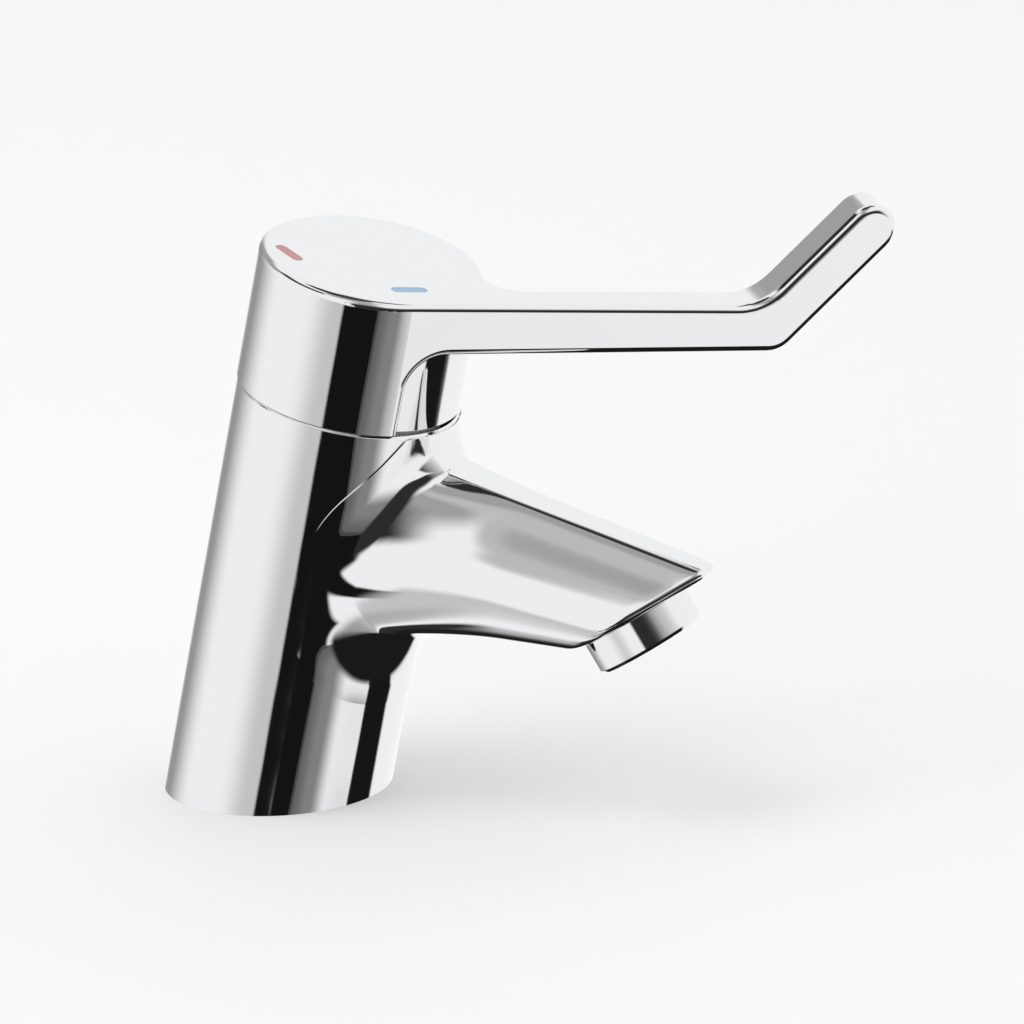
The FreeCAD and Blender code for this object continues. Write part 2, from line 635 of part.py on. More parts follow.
def lever_profile():
    """The lever's side outline, drawn in the plane of the lever and the axis."""
    arm = point(math.cos(math.radians(ARM_ANGLE)), 0, math.sin(math.radians(ARM_ANGLE)))
    across = point(arm.z, 0, -arm.x) * ARM_THICKNESS
    bend = point(LEVER_BEND_X, 0, HANDLE_TOP)
    arm_end = bend + arm * ARM_LENGTH
    fall = (LEVER_ROOT_THICKNESS - LEVER_END_THICKNESS) / LEVER_BEND_X
    under_root = point(ARCH_X, 0, HANDLE_TOP - LEVER_ROOT_THICKNESS)
    reach = (under_root.z - bend.z - across.z - fall * under_root.x + fall * (bend.x + across.x))
    reach = reach / (arm.z - fall * arm.x)
    heel = bend + across + arm * reach
    foot = point(ARCH_X, 0, CAP_FOOT - 1)
    inside = -BODY_RADIUS / 2
    tip = ARM_THICKNESS / 2 - 0.01
    corners = [point(inside, 0, HANDLE_TOP), bend, arm_end, arm_end + across, heel, under_root, foot,
               point(inside, 0, foot.z)]
    return rounded_path(corners, [0, LEVER_BEND_RADIUS, tip, tip, LEVER_HEEL_RADIUS, ARCH_RADIUS, 0, 0])


def lever_plan():
    """The lever's outline seen along the axis, with its blend into the cap."""
    near = -CAP_RADIUS
    far = near + LEVER_WIDTH
    centre_y = far + LEVER_SIDE_BLEND
    centre_x = math.sqrt((CAP_RADIUS + LEVER_SIDE_BLEND) ** 2 - centre_y ** 2)
    share = CAP_RADIUS / (CAP_RADIUS + LEVER_SIDE_BLEND)
    meet = point(centre_x * share, centre_y * share, 0)
    leave = point(centre_x, far, 0)
    towards = ((meet + leave) * 0.5 - point(centre_x, centre_y, 0)).normalize() * LEVER_SIDE_BLEND
    middle = point(centre_x, centre_y, 0) + towards
    end = LEVER_BEND_X + ARM_LENGTH + ARM_THICKNESS
    wire = [Part.makeLine(point(0, near, 0), point(end, near, 0)),
            Part.makeLine(point(end, near, 0), point(end, far, 0)),
            Part.makeLine(point(end, far, 0), leave), Part.Arc(leave, middle, meet).toShape(),
            Part.makeLine(meet, point(0, meet.y, 0)), Part.makeLine(point(0, meet.y, 0), point(0, near, 0))]
    return Part.Face(Part.Wire(wire))


def lever_outside():
    depth = 4 * BODY_RADIUS
    side = Part.Face(lever_profile())
    side.translate(point(0, -depth, 0))
    plan = lever_plan()
    plan.translate(point(0, 0, CAP_FOOT))
    return side.extrude(point(0, 2 * depth, 0)).common(plan.extrude(point(0, 0, depth)))


def relief_opening():
    """A block below the lever with an arched edge, as wide as the relief in the skirt."""
    near = -1.2 * CAP_RADIUS
    fall = (LEVER_ROOT_THICKNESS - LEVER_END_THICKNESS) / LEVER_BEND_X
    far_x = 2 * BODY_RADIUS
    top = HANDLE_TOP - LEVER_ROOT_THICKNESS
    corners = [point(ARCH_X, near, CAP_FOOT - 1), point(ARCH_X, near, top),
               point(far_x, near, top + fall * (far_x - ARCH_X)), point(far_x, near, CAP_FOOT - 1)]
    opening = Part.Face(rounded_path(corners, [0, ARCH_RADIUS, 0, 0]))
    return opening.extrude(point(0, -near - RELIEF_FAR_OFFSET, 0))


def relief_filling():
    """What makes the relief fade out ahead: the skirt's own round, moved away from the lever."""
    moved = disc(CAP_RADIUS, CAP_FOOT, HANDLE_TOP)
    moved.translate(point(RELIEF_FADE, RELIEF_DEPTH + RELIEF_SETBACK, 0))
    return relief_opening().common(moved).common(disc(CAP_RADIUS, CAP_FOOT, HANDLE_TOP))


def mark(length, width, thickness, low):
    half = length / 2 - width / 2
    bar = Part.makeBox(2 * half, width, thickness, point(-half, -width / 2, low))
    ends = [Part.makeCylinder(width / 2, thickness, point(hand * half, 0, low)) for hand in (1, -1)]
    return bar.fuse(ends).removeSplitter()


def place_mark(shape, inset, place, turn):
    moved = shape.copy()
    moved.rotate(point(0, 0, 0), point(0, 0, 1), turn)
    moved.translate(polar(CAP_RADIUS - inset, place, 0))
    return moved


def mark_pair(grow):
    """Blue then red, with the same call for the inlays and for their pockets."""
    low = HANDLE_TOP - MARK_SINK - MARK_THICKNESS - grow * 0.5
    high = HANDLE_TOP - MARK_SINK if grow == 0 else HANDLE_TOP + 1
    shape = mark(MARK_LENGTH + 2 * grow, MARK_WIDTH + 2 * grow, high - low, low)
    blue = place_mark(shape, BLUE_MARK_INSET, BLUE_MARK_PLACE, BLUE_MARK_TURN)
    red = place_mark(shape, RED_MARK_INSET, RED_MARK_PLACE, RED_MARK_TURN)
    return blue, red


def back_axis(shape):
    """Places a shape drawn along +X so that it points to the tap's back when closed."""
    turned = shape.copy()
    turned.rotate(point(0, 0, 0), point(0, 0, 1), 180 - CLOSED_TURN)
    return turned


def radial_rod(radius, start, end):
    rod_shape = rod(point(start, 0, SCREW_HEIGHT), point(end, 0, SCREW_HEIGHT), radius)
    return back_axis(rod_shape)


def handle_outside():
    """Cap, lever and relief with every outer edge rounded."""
    cap = disc(CAP_RADIUS, CAP_FOOT, HANDLE_TOP)
    core = disc(CAP_RADIUS - RELIEF_DEPTH, CAP_FOOT - 2, HANDLE_TOP)
    body = cap.fuse(lever_outside()).cut(relief_opening().cut(core)).removeSplitter()
    bend_start = LEVER_BEND_X - LEVER_BEND_RADIUS * math.tan(math.radians(ARM_ANGLE / 2))

    def on_top(place):
        across = abs(place.x - bend_start) < 0.01 and abs(place.y + CAP_RADIUS) > 0.01
        return abs(place.z - HANDLE_TOP) < 0.01 and not across

    rounded = soften(body, HANDLE_EDGE_ROUNDING, on_top)
    return rounded.fuse(relief_filling()).removeSplitter()


def handle_lever():
    body = handle_outside()
    ceiling = HANDLE_TOP - CAP_TOP_WALL
    hollow = disc(CAP_INNER_RADIUS, CAP_FOOT - 1, ceiling)
    hollow = hollow.cut(disc(HUB_RADIUS, HUB_FOOT, ceiling))
    body = body.cut(hollow)
    body = body.cut(disc(HUB_BORE_RADIUS, HUB_FOOT - 1, HUB_FOOT + INSERT_LENGTH))
    body = body.cut(radial_rod(SCREW_RADIUS, 0, HUB_RADIUS + 1))
    body = body.cut(radial_rod(PLUG_RADIUS, HUB_RADIUS + 1, CAP_RADIUS + 1))
    for pocket in mark_pair(RUNNING_FIT):
        body = body.cut(pocket)
    return body


def handle_insert():
    top = HUB_FOOT + INSERT_LENGTH - SLIDE_FIT
    body = ring(SPLINE_RADIUS + RUNNING_FIT, HUB_BORE_RADIUS - RUNNING_FIT, HUB_FOOT, top)
    return body.cut(radial_rod(SCREW_RADIUS + RUNNING_FIT, 0, HUB_BORE_RADIUS + 1))


def grub_screw():
    start = SPLINE_RADIUS + RUNNING_FIT
    body = radial_rod(SCREW_RADIUS - RUNNING_FIT, start, start + SCREW_LENGTH)
    socket = radial_rod(SOCKET_RADIUS, start + SCREW_LENGTH - SOCKET_DEPTH, start + SCREW_LENGTH + 1)
    return body.cut(socket)


def screw_plug():
    blank = radial_rod(PLUG_RADIUS - RUNNING_FIT, CAP_RADIUS - PLUG_LENGTH, CAP_RADIUS + 1)
    return blank.common(disc(CAP_RADIUS - RUNNING_FIT, CAP_FOOT, HANDLE_TOP))


def aerator_collar():
    """Threaded sleeve with a wider round collar below the mouth."""
    sleeve = ring(AERATOR_THREAD_RADIUS - AERATOR_WALL, AERATOR_THREAD_RADIUS, 0, AERATOR_THREAD_LENGTH)
    collar = disc(AERATOR_COLLAR_RADIUS, -AERATOR_COLLAR_LENGTH, 0)
    rim = [edge for edge in collar.Edges if abs(edge.CenterOfMass.z + AERATOR_COLLAR_LENGTH) < 0.01]
    collar = collar.makeChamfer(AERATOR_CHAMFER, rim[:1])
    inner = AERATOR_THREAD_RADIUS - AERATOR_WALL
    collar = collar.cut(disc(inner - AERATOR_RIM_WIDTH, -AERATOR_COLLAR_LENGTH - 1, 1))
    collar = collar.cut(disc(inner, AERATOR_RIM_DEPTH - AERATOR_COLLAR_LENGTH, 1))
    return collar.fuse(sleeve).removeSplitter()


def aerator_washer():
    inner = AERATOR_THREAD_RADIUS - AERATOR_WALL
    return ring(inner, AERATOR_THREAD_RADIUS, AERATOR_THREAD_LENGTH,
                AERATOR_THREAD_LENGTH + WASHER_THICKNESS)


def aerator_insert():
    """The cup that holds the screens: a ring wall under a plate of jet holes."""
    outer = AERATOR_THREAD_RADIUS - AERATOR_WALL - RUNNING_FIT
    low = AERATOR_RIM_DEPTH - AERATOR_COLLAR_LENGTH
    plate_low = AERATOR_THREAD_LENGTH - JET_PLATE_DROP
    body = ring(outer - AERATOR_INSERT_WALL, outer, low, AERATOR_THREAD_LENGTH)
    body = body.fuse(disc(outer - AERATOR_INSERT_WALL / 2, plate_low, plate_low + JET_PLATE_THICKNESS))
    for k in range(JET_COUNT):
        place = polar(JET_CIRCLE_RADIUS, 360 * k / JET_COUNT, 0)
        body = body.cut(peg(JET_RADIUS, place, plate_low - 1, plate_low + 3))
    return body


def aerator_grid():
    """A round grid of straight bars both ways inside a thin rim."""
    radius = AERATOR_THREAD_RADIUS - AERATOR_WALL - AERATOR_INSERT_WALL - 2 * RUNNING_FIT
    low = AERATOR_RIM_DEPTH - AERATOR_COLLAR_LENGTH
    high = low + GRID_THICKNESS
    bars = []
    count = int(radius / GRID_PITCH)
    for k in range(-count, count + 1):
        start = k * GRID_PITCH - GRID_BAR / 2
        bars.append(Part.makeBox(2 * radius, GRID_BAR, GRID_THICKNESS, point(-radius, start, low)))
        bars.append(Part.makeBox(GRID_BAR, 2 * radius, GRID_THICKNESS, point(start, -radius, low)))
    mesh = bars[0].fuse(bars[1:]).common(disc(radius - GRID_RIM / 2, low, high))
    return ring(radius - GRID_RIM, radius, low, high).fuse(mesh).removeSplitter()


def seal_place(shape, place):
    moved = shape.copy()
    moved.translate(point(place.x, place.y, 0))
    return moved


os.makedirs("parts", exist_ok=True)
export(body_casting(), "body_casting")
export(base_ring(GASKET_WIDTH), "base_gasket")
export(lean(cartridge_base()), "cartridge_base")
inlet_seal = ring(INLET_SEAL_INNER_RADIUS, INLET_SEAL_INNER_RADIUS + SEAL_SECTION, CHAMBER_FLOOR,
                  CHAMBER_FLOOR + SEAL_SECTION)
cold_place, hot_place = port_places()
export(lean(seal_place(inlet_seal, cold_place)), "cold_inlet_seal")
export(lean(seal_place(inlet_seal, hot_place)), "hot_inlet_seal")
port_seal = plate_with_ports(HOUSING_INNER_RADIUS - FREE_GAP, BASE_TOP, FIXED_DISC_LOW)
export(lean(port_seal), "port_seal")
fixed_disc = plate_with_ports(HOUSING_INNER_RADIUS - SLIDE_FIT, FIXED_DISC_LOW, FIXED_DISC_TOP)
export(lean(fixed_disc), "fixed_disc")
export(lean(moving_disc()), "moving_disc")
export(swing(disc_carrier()), "disc_carrier")
export(swing(stem()), "stem")
stem_seal = ring(STEM_RADIUS - STEM_SEAL_SECTION, STEM_RADIUS, stem_seal_low(),
                 stem_seal_low() + STEM_SEAL_SECTION)
export(lean(stem_seal), "stem_seal")
export(lean(cartridge_housing()), "cartridge_housing")
housing_seal = ring(HOUSING_RADIUS - SEAL_SECTION + SLIDE_FIT, CHAMBER_RADIUS, HOUSING_SEAL_LOW,
                    HOUSING_SEAL_LOW + SEAL_SECTION)
export(lean(housing_seal), "housing_seal")
export(lean(retaining_nut()), "retaining_nut")
export(swing(circlip()), "stem_circlip")
export(lean(guide_ring()), "guide_ring")
export(swing(handle_lever()), "handle_lever")
export(swing(handle_insert()), "handle_insert")
export(swing(grub_screw()), "grub_screw")
export(swing(screw_plug()), "screw_plug")
for name, inlay in zip(("blue_mark", "red_mark"), mark_pair(0)):
    export(swing(inlay), name)
export(mouth_frame(aerator_collar()), "aerator_collar")
export(mouth_frame(aerator_washer()), "aerator_washer")
export(mouth_frame(aerator_insert()), "aerator_insert")
export(mouth_frame(aerator_grid()), "aerator_grid")
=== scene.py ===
import math

import bpy
import numpy as np
from bpy.props import FloatProperty, FloatVectorProperty, PointerProperty
from mathutils import Matrix, Vector


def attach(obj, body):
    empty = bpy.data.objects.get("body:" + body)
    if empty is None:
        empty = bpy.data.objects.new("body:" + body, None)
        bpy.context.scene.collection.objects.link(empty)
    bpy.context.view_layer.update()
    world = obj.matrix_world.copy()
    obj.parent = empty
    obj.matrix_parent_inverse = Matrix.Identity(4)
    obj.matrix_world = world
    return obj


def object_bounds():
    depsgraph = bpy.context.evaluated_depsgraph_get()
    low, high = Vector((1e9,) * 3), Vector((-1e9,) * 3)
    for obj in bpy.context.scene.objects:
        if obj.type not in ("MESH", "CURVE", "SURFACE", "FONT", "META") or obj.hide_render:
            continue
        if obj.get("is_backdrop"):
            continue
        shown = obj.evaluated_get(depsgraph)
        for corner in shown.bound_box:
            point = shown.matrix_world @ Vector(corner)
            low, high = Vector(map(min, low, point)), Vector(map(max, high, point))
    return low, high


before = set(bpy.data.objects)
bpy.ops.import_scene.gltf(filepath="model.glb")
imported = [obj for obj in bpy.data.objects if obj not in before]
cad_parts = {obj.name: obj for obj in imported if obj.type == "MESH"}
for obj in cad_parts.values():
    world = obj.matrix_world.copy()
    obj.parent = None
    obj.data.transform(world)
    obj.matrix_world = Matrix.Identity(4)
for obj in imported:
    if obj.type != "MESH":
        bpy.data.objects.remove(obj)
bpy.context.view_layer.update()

bl_info = {
    "name": "Basin mixer tap",
    "version": (1, 0, 0),
    "blender": (4, 5, 0),
    "location": "3D View > Sidebar > Tap",
    "description": "Finishes and studio of a single-lever basin mixer with a long bent lever",
    "category": "Object",
}

MILLIMETRE = 0.001
COLUMN_LEAN = math.radians(14.0)

# Nodes that share a finish
CHROMED = {"chromed_body": ("body_casting",), "chromed_handle": ("handle_lever",),
           "chromed_collar": ("aerator_collar",)}
RUBBER = ("base_gasket", "cold_inlet_seal", "hot_inlet_seal", "port_seal", "housing_seal",
          "aerator_washer", "stem_seal")
WHITE_PLASTIC = ("cartridge_base", "cartridge_housing", "guide_ring", "disc_carrier")
GREY_PLASTIC = ("aerator_insert", "aerator_grid", "handle_insert", "screw_plug")
BRASS = ("retaining_nut", "stem")
STEEL = ("grub_screw", "stem_circlip")
CERAMIC = ("fixed_disc", "moving_disc")

# Studio panels seen in the chrome, each over the ones above it: the limits of its azimuth,
# from the camera's side and positive to its right, the limits of its elevation, and its shade.
# Limits are in degrees: where the panel starts, where it is full from and to, and where it ends.
STUDIO_PANELS = (
    ((-178, -157, -150, -104), (-91, -90, 20, 50), 0.34),
    ((-72, -38, -31, -29.5), (-91, -90, -20, -6), 0.66),
    ((-60, -14, 181, 182), (-91, -90, -50, -34), 0.42),
    ((5, 5.1, 26, 46), (-48, -42, -4, 14), 0.26),
    ((5, 5.1, 8, 22), (-48, -42, -4, 14), 0.15),
    ((-10, 1, 14, 30), (0, 14, 62, 90), 0.42),
    ((-32, -29, -13, -10), (-28.5, -27, -20.5, -18), 0.008),
    ((-17, -13, 4, 8), (-38, -35, -15, -9), 0.008),
    ((-15, -9, 52, 80), (-17, -13, 12, 34), 0.03),
    ((74, 77, 109, 114), (-91, -90, -34, -30), 0.01),
    ((-13, 4, 181, 182), (-91, -90, -42, -37.6), 0.012),
    ((-181, -180.5, -160, -132), (-91, -90, -42, -32), 0.015),
    ((-181, -180.5, -110, -76), (-91, -90, -72, -60), 0.03),
    ((-175, -160, -118, -100), (20, 26, 42, 50), 0.42),
    ((-124, -110, -45, -34), (36, 41, 54, 60), 0.03),
    ((-40, -30, 20, 30), (44, 51, 60, 61), 0.6),
    ((-45, -35, 30, 60), (52, 58, 91, 92), 0.42),
    ((-181, -180.5, 181, 182), (71, 75, 91, 92), 0.03),
    ((95, 112, 158, 168), (56, 62, 84, 88), 0.08),
)

# Between these values lies most of a noise pattern
NOISE_LOW, NOISE_HIGH = 0.3, 0.7


def colour_property(name, description, default):
    return FloatVectorProperty(name=name, description=description, subtype="COLOR", size=3,
                               min=0, max=1, default=default)


class ChromeSettings(bpy.types.PropertyGroup):
    """The mirror plating."""
    tint: colour_property("Tint", "Colour of the plating's reflection", (0.80, 0.805, 0.815))
    roughness: FloatProperty(name="Roughness", description="Haze of the polished plating",
                             min=0, max=1, default=0.035)
    wave_length: FloatProperty(name="Wave length", description="Distance between the polish's soft waves",
                               unit="LENGTH", min=0.001, default=0.016)


class PartColours(bpy.types.PropertyGroup):
    """Colours of the parts that aren't plated."""
    hot: colour_property("Hot mark", "Enamel of the hot mark", (0.50, 0.10, 0.14))
    cold: colour_property("Cold mark", "Enamel of the cold mark", (0.17, 0.42, 0.68))
    rubber: colour_property("Rubber", "Seals and the base gasket", (0.025, 0.025, 0.027))
    white_plastic: colour_property("White plastic", "Cartridge mouldings and guide ring", (0.80, 0.80, 0.77))
    grey_plastic: colour_property("Grey plastic", "Aerator, handle insert and plug", (0.20, 0.21, 0.22))
    ceramic: colour_property("Ceramic", "The two lapped discs", (0.84, 0.82, 0.75))
    brass: colour_property("Brass", "Retaining nut and stem", (0.80, 0.58, 0.26))
    steel: colour_property("Steel", "Grub screw and circlip", (0.56, 0.57, 0.59))


class SpoutSettings(bpy.types.PropertyGroup):
    """The spout's plated outside."""
    wall: FloatProperty(name="Wall", description="Thickness of the plated outside",
                        unit="LENGTH", min=0.0001, default=0.0004)
    mouth_rounding: FloatProperty(name="Mouth rounding", description="Radius of the edge round the mouth",
                                  unit="LENGTH", min=0.0005, max=0.005, default=0.0024)
    smooth_angle: FloatProperty(name="Smooth angle", description="Edges sharper than this stay sharp",
                                subtype="ANGLE", unit="ROTATION", default=math.radians(35))


class StudioSettings(bpy.types.PropertyGroup):
    """The camera and the white studio."""
    azimuth: FloatProperty(name="Azimuth", description="Turn of the camera from the tap's front",
                           subtype="ANGLE", unit="ROTATION", default=math.radians(24.21))
    elevation: FloatProperty(name="Elevation", description="Height angle of the camera",
                             subtype="ANGLE", unit="ROTATION", default=math.radians(17.64))
    roll: FloatProperty(name="Roll", description="Tilt of the picture", subtype="ANGLE",
                        unit="ROTATION", default=math.radians(-3.36))
    distance: FloatProperty(name="Distance", description="Distance from the camera to the picture's middle",
                            unit="LENGTH", default=3.4535)
    lens: FloatProperty(name="Lens", description="Focal length in millimetres", default=541.5)
    shift: FloatVectorProperty(name="Shift", description="Sideways and upward move of the camera",
                               size=2, unit="LENGTH", default=(0.05225, 0.06004))
    surround: FloatProperty(name="Surround", description="Brightness of the studio in the chrome",
                            min=0, default=1.05)
    floor_size: FloatProperty(name="Floor size", description="Width of the square floor",
                              unit="LENGTH", min=1, default=8)
    floor_glow: FloatProperty(name="Floor glow", description="Light that the floor gives by itself",
                              min=0, default=0.2)
    softbox_place: FloatVectorProperty(name="Softbox place", description="Where the lamp hangs",
                                       subtype="TRANSLATION", unit="LENGTH", size=3,
                                       default=(-0.5, -0.4, 1.5))
    softbox_size: FloatProperty(name="Softbox size", description="Width of the lamp",
                                unit="LENGTH", min=0.1, default=1)
    softbox_power: FloatProperty(name="Softbox power", description="Strength of the lamp",
                                 unit="POWER", min=0, default=6)


def new_material(name):
    """A new material, with its shader and its node tree."""
    material = bpy.data.materials.new(name)
    material.use_nodes = True
    tree = material.node_tree
    return material, tree.nodes["Principled BSDF"], tree


def add_node(tree, kind, inputs=(), **settings):
    """A node with its settings, and its inputs given as values or sockets."""
    node = tree.nodes.new(kind)
    for name, value in settings.items():
        setattr(node, name, value)
    for place, value in dict(inputs).items():
        if isinstance(value, bpy.types.NodeSocket):
            tree.links.new(value, node.inputs[place])
        else:
            node.inputs[place].default_value = value
    return node


def dress(material, *names):
    """Gives CAD nodes the material."""
    for name in names:
        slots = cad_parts[name].data.materials
        slots.clear()
        slots.append(material)


def object_place(tree):
    """The place on the piece, in metres."""
    return add_node(tree, "ShaderNodeTexCoord").outputs["Object"]


def map_noise(tree, noise, low, high):
    """A noise pattern, stretched from a low value to a high one."""
    return add_node(tree, "ShaderNodeMapRange", {
        "Value": noise.outputs["Fac"], "From Min": NOISE_LOW, "From Max": NOISE_HIGH,
        "To Min": low, "To Max": high}).outputs["Result"]


def add_relief(tree, shader, pattern, strength, depth):
    """Fine relief by a pattern, at a depth in metres."""
    bump = add_node(tree, "ShaderNodeBump", {
        "Height": pattern.outputs["Fac"], "Strength": strength, "Distance": depth})
    tree.links.new(bump.outputs["Normal"], shader.inputs["Normal"])


def chrome_material(name, settings):
    """Mirror plating with an uneven haze and the polish's soft waves."""
    material, shader, tree = new_material(name)
    shader.inputs["Base Color"].default_value = (*settings.tint, 1)
    shader.inputs["Metallic"].default_value = 1
    place = object_place(tree)
    haze = add_node(tree, "ShaderNodeTexNoise", {"Vector": place, "Scale": 90.0, "Detail": 3.0})
    roughness = map_noise(tree, haze, settings.roughness * 0.7, settings.roughness * 1.4)
    tree.links.new(roughness, shader.inputs["Roughness"])
    waves = add_node(tree, "ShaderNodeTexNoise", {
        "Vector": place, "Scale": 1 / settings.wave_length, "Detail": 1.0, "Roughness": 0.3})
    add_relief(tree, shader, waves, 0.06, MILLIMETRE)
    return material


def grained_material(name, tint, roughness, grain, relief=0.1, coat=0.0):
    """A finish with a fine grain, small shade differences and an uneven gloss."""
    material, shader, tree = new_material(name)
    shader.inputs["Coat Weight"].default_value = coat
    noise = add_node(tree, "ShaderNodeTexNoise", {
        "Vector": object_place(tree), "Scale": grain, "Detail": 4.0})
    shade = add_node(tree, "ShaderNodeVectorMath", {
        0: tint, "Scale": map_noise(tree, noise, 0.9, 1.06)}, operation="SCALE")
    tree.links.new(shade.outputs[0], shader.inputs["Base Color"])
    gloss = map_noise(tree, noise, roughness * 0.8, roughness * 1.2)
    tree.links.new(gloss, shader.inputs["Roughness"])
    add_relief(tree, shader, noise, relief, 0.2 * MILLIMETRE)
    return material


def turned_material(name, tint, roughness, pitch):
    """Turned metal with fine tool rings round the column's axis."""
    material, shader, tree = new_material(name)
    shader.inputs["Base Color"].default_value = (*tint, 1)
    shader.inputs["Metallic"].default_value = 1
    upright = add_node(tree, "ShaderNodeMapping", {
        "Vector": object_place(tree), "Rotation": (0, -COLUMN_LEAN, 0)})
    rings = add_node(tree, "ShaderNodeTexWave", {
        "Vector": upright.outputs[0], "Scale": 1 / pitch, "Distortion": 0.6, "Detail": 1.0},
        bands_direction="Z")
    gloss = add_node(tree, "ShaderNodeMapRange", {
        "Value": rings.outputs["Fac"], "To Min": roughness * 0.75, "To Max": roughness * 1.25})
    tree.links.new(gloss.outputs["Result"], shader.inputs["Roughness"])
    add_relief(tree, shader, rings, 0.15, 0.1 * MILLIMETRE)
    return material


class TAP_OT_plating(bpy.types.Operator):
    """Plates the body, the lever and the aerator collar"""
    bl_idname = "tap.plating"
    bl_label = "Chrome plating"

    def execute(self, context):
        for slot, names in CHROMED.items():
            dress(chrome_material(slot, context.scene.tap_chrome), *names)
        return {"FINISHED"}


class TAP_OT_seals(bpy.types.Operator):
    """Finishes the rubber seals, the aerator washer and the base gasket"""
    bl_idname = "tap.seals"
    bl_label = "Rubber seals"

    def execute(self, context):
        colours = context.scene.tap_colours
        dress(grained_material("rubber", colours.rubber, 0.62, grain=900.0, relief=0.25), *RUBBER)
        return {"FINISHED"}


class TAP_OT_mouldings(bpy.types.Operator):
    """Finishes the plastic of the cartridge, the aerator and the handle's fittings"""
    bl_idname = "tap.mouldings"
    bl_label = "Plastic mouldings"

    def execute(self, context):
        colours = context.scene.tap_colours
        dress(grained_material("white_plastic", colours.white_plastic, 0.38, grain=500.0), *WHITE_PLASTIC)
        dress(grained_material("grey_plastic", colours.grey_plastic, 0.42, grain=500.0), *GREY_PLASTIC)
        return {"FINISHED"}


class TAP_OT_discs(bpy.types.Operator):
    """Finishes the two lapped ceramic discs"""
    bl_idname = "tap.discs"
    bl_label = "Ceramic discs"

    def execute(self, context):
        colours = context.scene.tap_colours
        dress(grained_material("ceramic", colours.ceramic, 0.12, grain=250.0, relief=0.03, coat=0.5),
              *CERAMIC)
        return {"FINISHED"}


class TAP_OT_turned_parts(bpy.types.Operator):
    """Finishes the brass nut and stem, the steel grub screw and the circlip"""
    bl_idname = "tap.turned_parts"
    bl_label = "Turned brass and steel"

    def execute(self, context):
        colours = context.scene.tap_colours
        dress(turned_material("brass", colours.brass, 0.22, pitch=0.4 * MILLIMETRE), *BRASS)
        dress(turned_material("steel", colours.steel, 0.28, pitch=0.5 * MILLIMETRE), *STEEL)
        return {"FINISHED"}


class TAP_OT_marks(bpy.types.Operator):
    """Fills the hot and cold marks with enamel"""
    bl_idname = "tap.marks"
    bl_label = "Hot and cold marks"

    def execute(self, context):
        colours = context.scene.tap_colours
        for node, tint in (("red_mark", colours.hot), ("blue_mark", colours.cold)):
            dress(grained_material(node, tint, 0.18, grain=600.0, relief=0.05, coat=0.8), node)
        return {"FINISHED"}


# The column and the spout's mouth, in millimetres and radians. Places are X and Z in the
# middle plane, and the mouth's heel and ridge end lie along its slope from its middle.
COLUMN_RADIUS = 25.003
COLUMN_AXIS = np.array([math.sin(COLUMN_LEAN), 0, math.cos(COLUMN_LEAN)])
SEAM_EDGE = 95.4
MOUTH_SLOPE = math.radians(30.4)
MOUTH_MIDDLE = (89.18, 46.2)
HEEL, RIDGE_END = -14.6, 22.27
LIP_RADIUS = 12.3
MIDDLE_FOOT, MIDDLE_TOP = np.array([60.98, 39.9]), np.array([66.98, 70.6])

# Lines that run along the spout, from its keel to its ridge, in millimetres. Each has the
# half width and height where it would meet the column, how far it stands off the column
# there, where its blend lands on the column, the blend's reach on the column and on the spout,
# and the half widths and height shares of the middle section and of the mouth
SPOUT_LINES = (
    ((0.0, 40.9), 0.0, (0.0, 26.6), 14.5, 11.0, (0.0, -0.003), (0.0, -0.003)),
    ((8.0, 40.9), 0.0, (10.4, 27.6), 13.5, 10.5, (6.8, 0.018), (6.2, 0.022)),
    ((14.6, 41.9), 0.0, (18.2, 31.4), 11.5, 9.0, (12.0, 0.092), (10.9, 0.102)),
    ((19.0, 44.6), 0.0, (22.3, 38.6), 7.0, 6.5, (15.4, 0.220), (13.9, 0.225)),
    ((20.8, 51.0), 0.0, (23.4, 50.0), 3.4, 4.0, (16.6, 0.380), (14.9, 0.370)),
    ((20.8, 58.5), 0.0, (23.3, 60.5), 3.4, 4.0, (15.3, 0.540), (13.5, 0.530)),
    ((19.2, 66.3), 0.0, (21.5, 70.3), 4.2, 4.0, (12.1, 0.690), (10.6, 0.690)),
    ((13.8, 74.4), 0.7, (16.2, 78.8), 4.4, 3.5, (8.0, 0.850), (6.9, 0.850)),
    ((6.2, 77.0), 3.0, (10.2, 86.2), 1.6, 1.6, (4.8, 0.980), (4.0, 0.980)),
    ((4.3, 77.2), 3.3, (6.0, 86.2), 1.4, 1.4, (3.2, 1.002), (2.5, 1.002)),
    ((0.0, 77.2), 3.3, (0.0, 86.1), 1.4, 1.4, (0.0, 1.002), (0.0, 1.002)),
)

# A line that stands off the column by this much or more isn't drawn to its landing's depth
FREE_STAND_OFF = 2.0

# Lines drawn from one line of the list to the next, the reach of a blend's handles as a share
# of the way to its corner, and half the share of a line that its heading is taken over
LINE_STEPS = 10
BLEND_HOLD = 0.62
HEADING_STEP = 1e-4

# Past its landing the skin sinks into the column, below the facets of the solid. A strip that
# climbs along the column by less than this share counts as climbing by it.
STRIP_WIDTH, STRIP_DROP = 4.0, 0.045
LEAST_CLIMB = 0.05
STRIP_ROWS, LANDING_ROWS, BLEND_ROWS, RUN_ROWS, EDGE_ROWS, LIP_ROWS = 6, 6, 14, 30, 8, 3


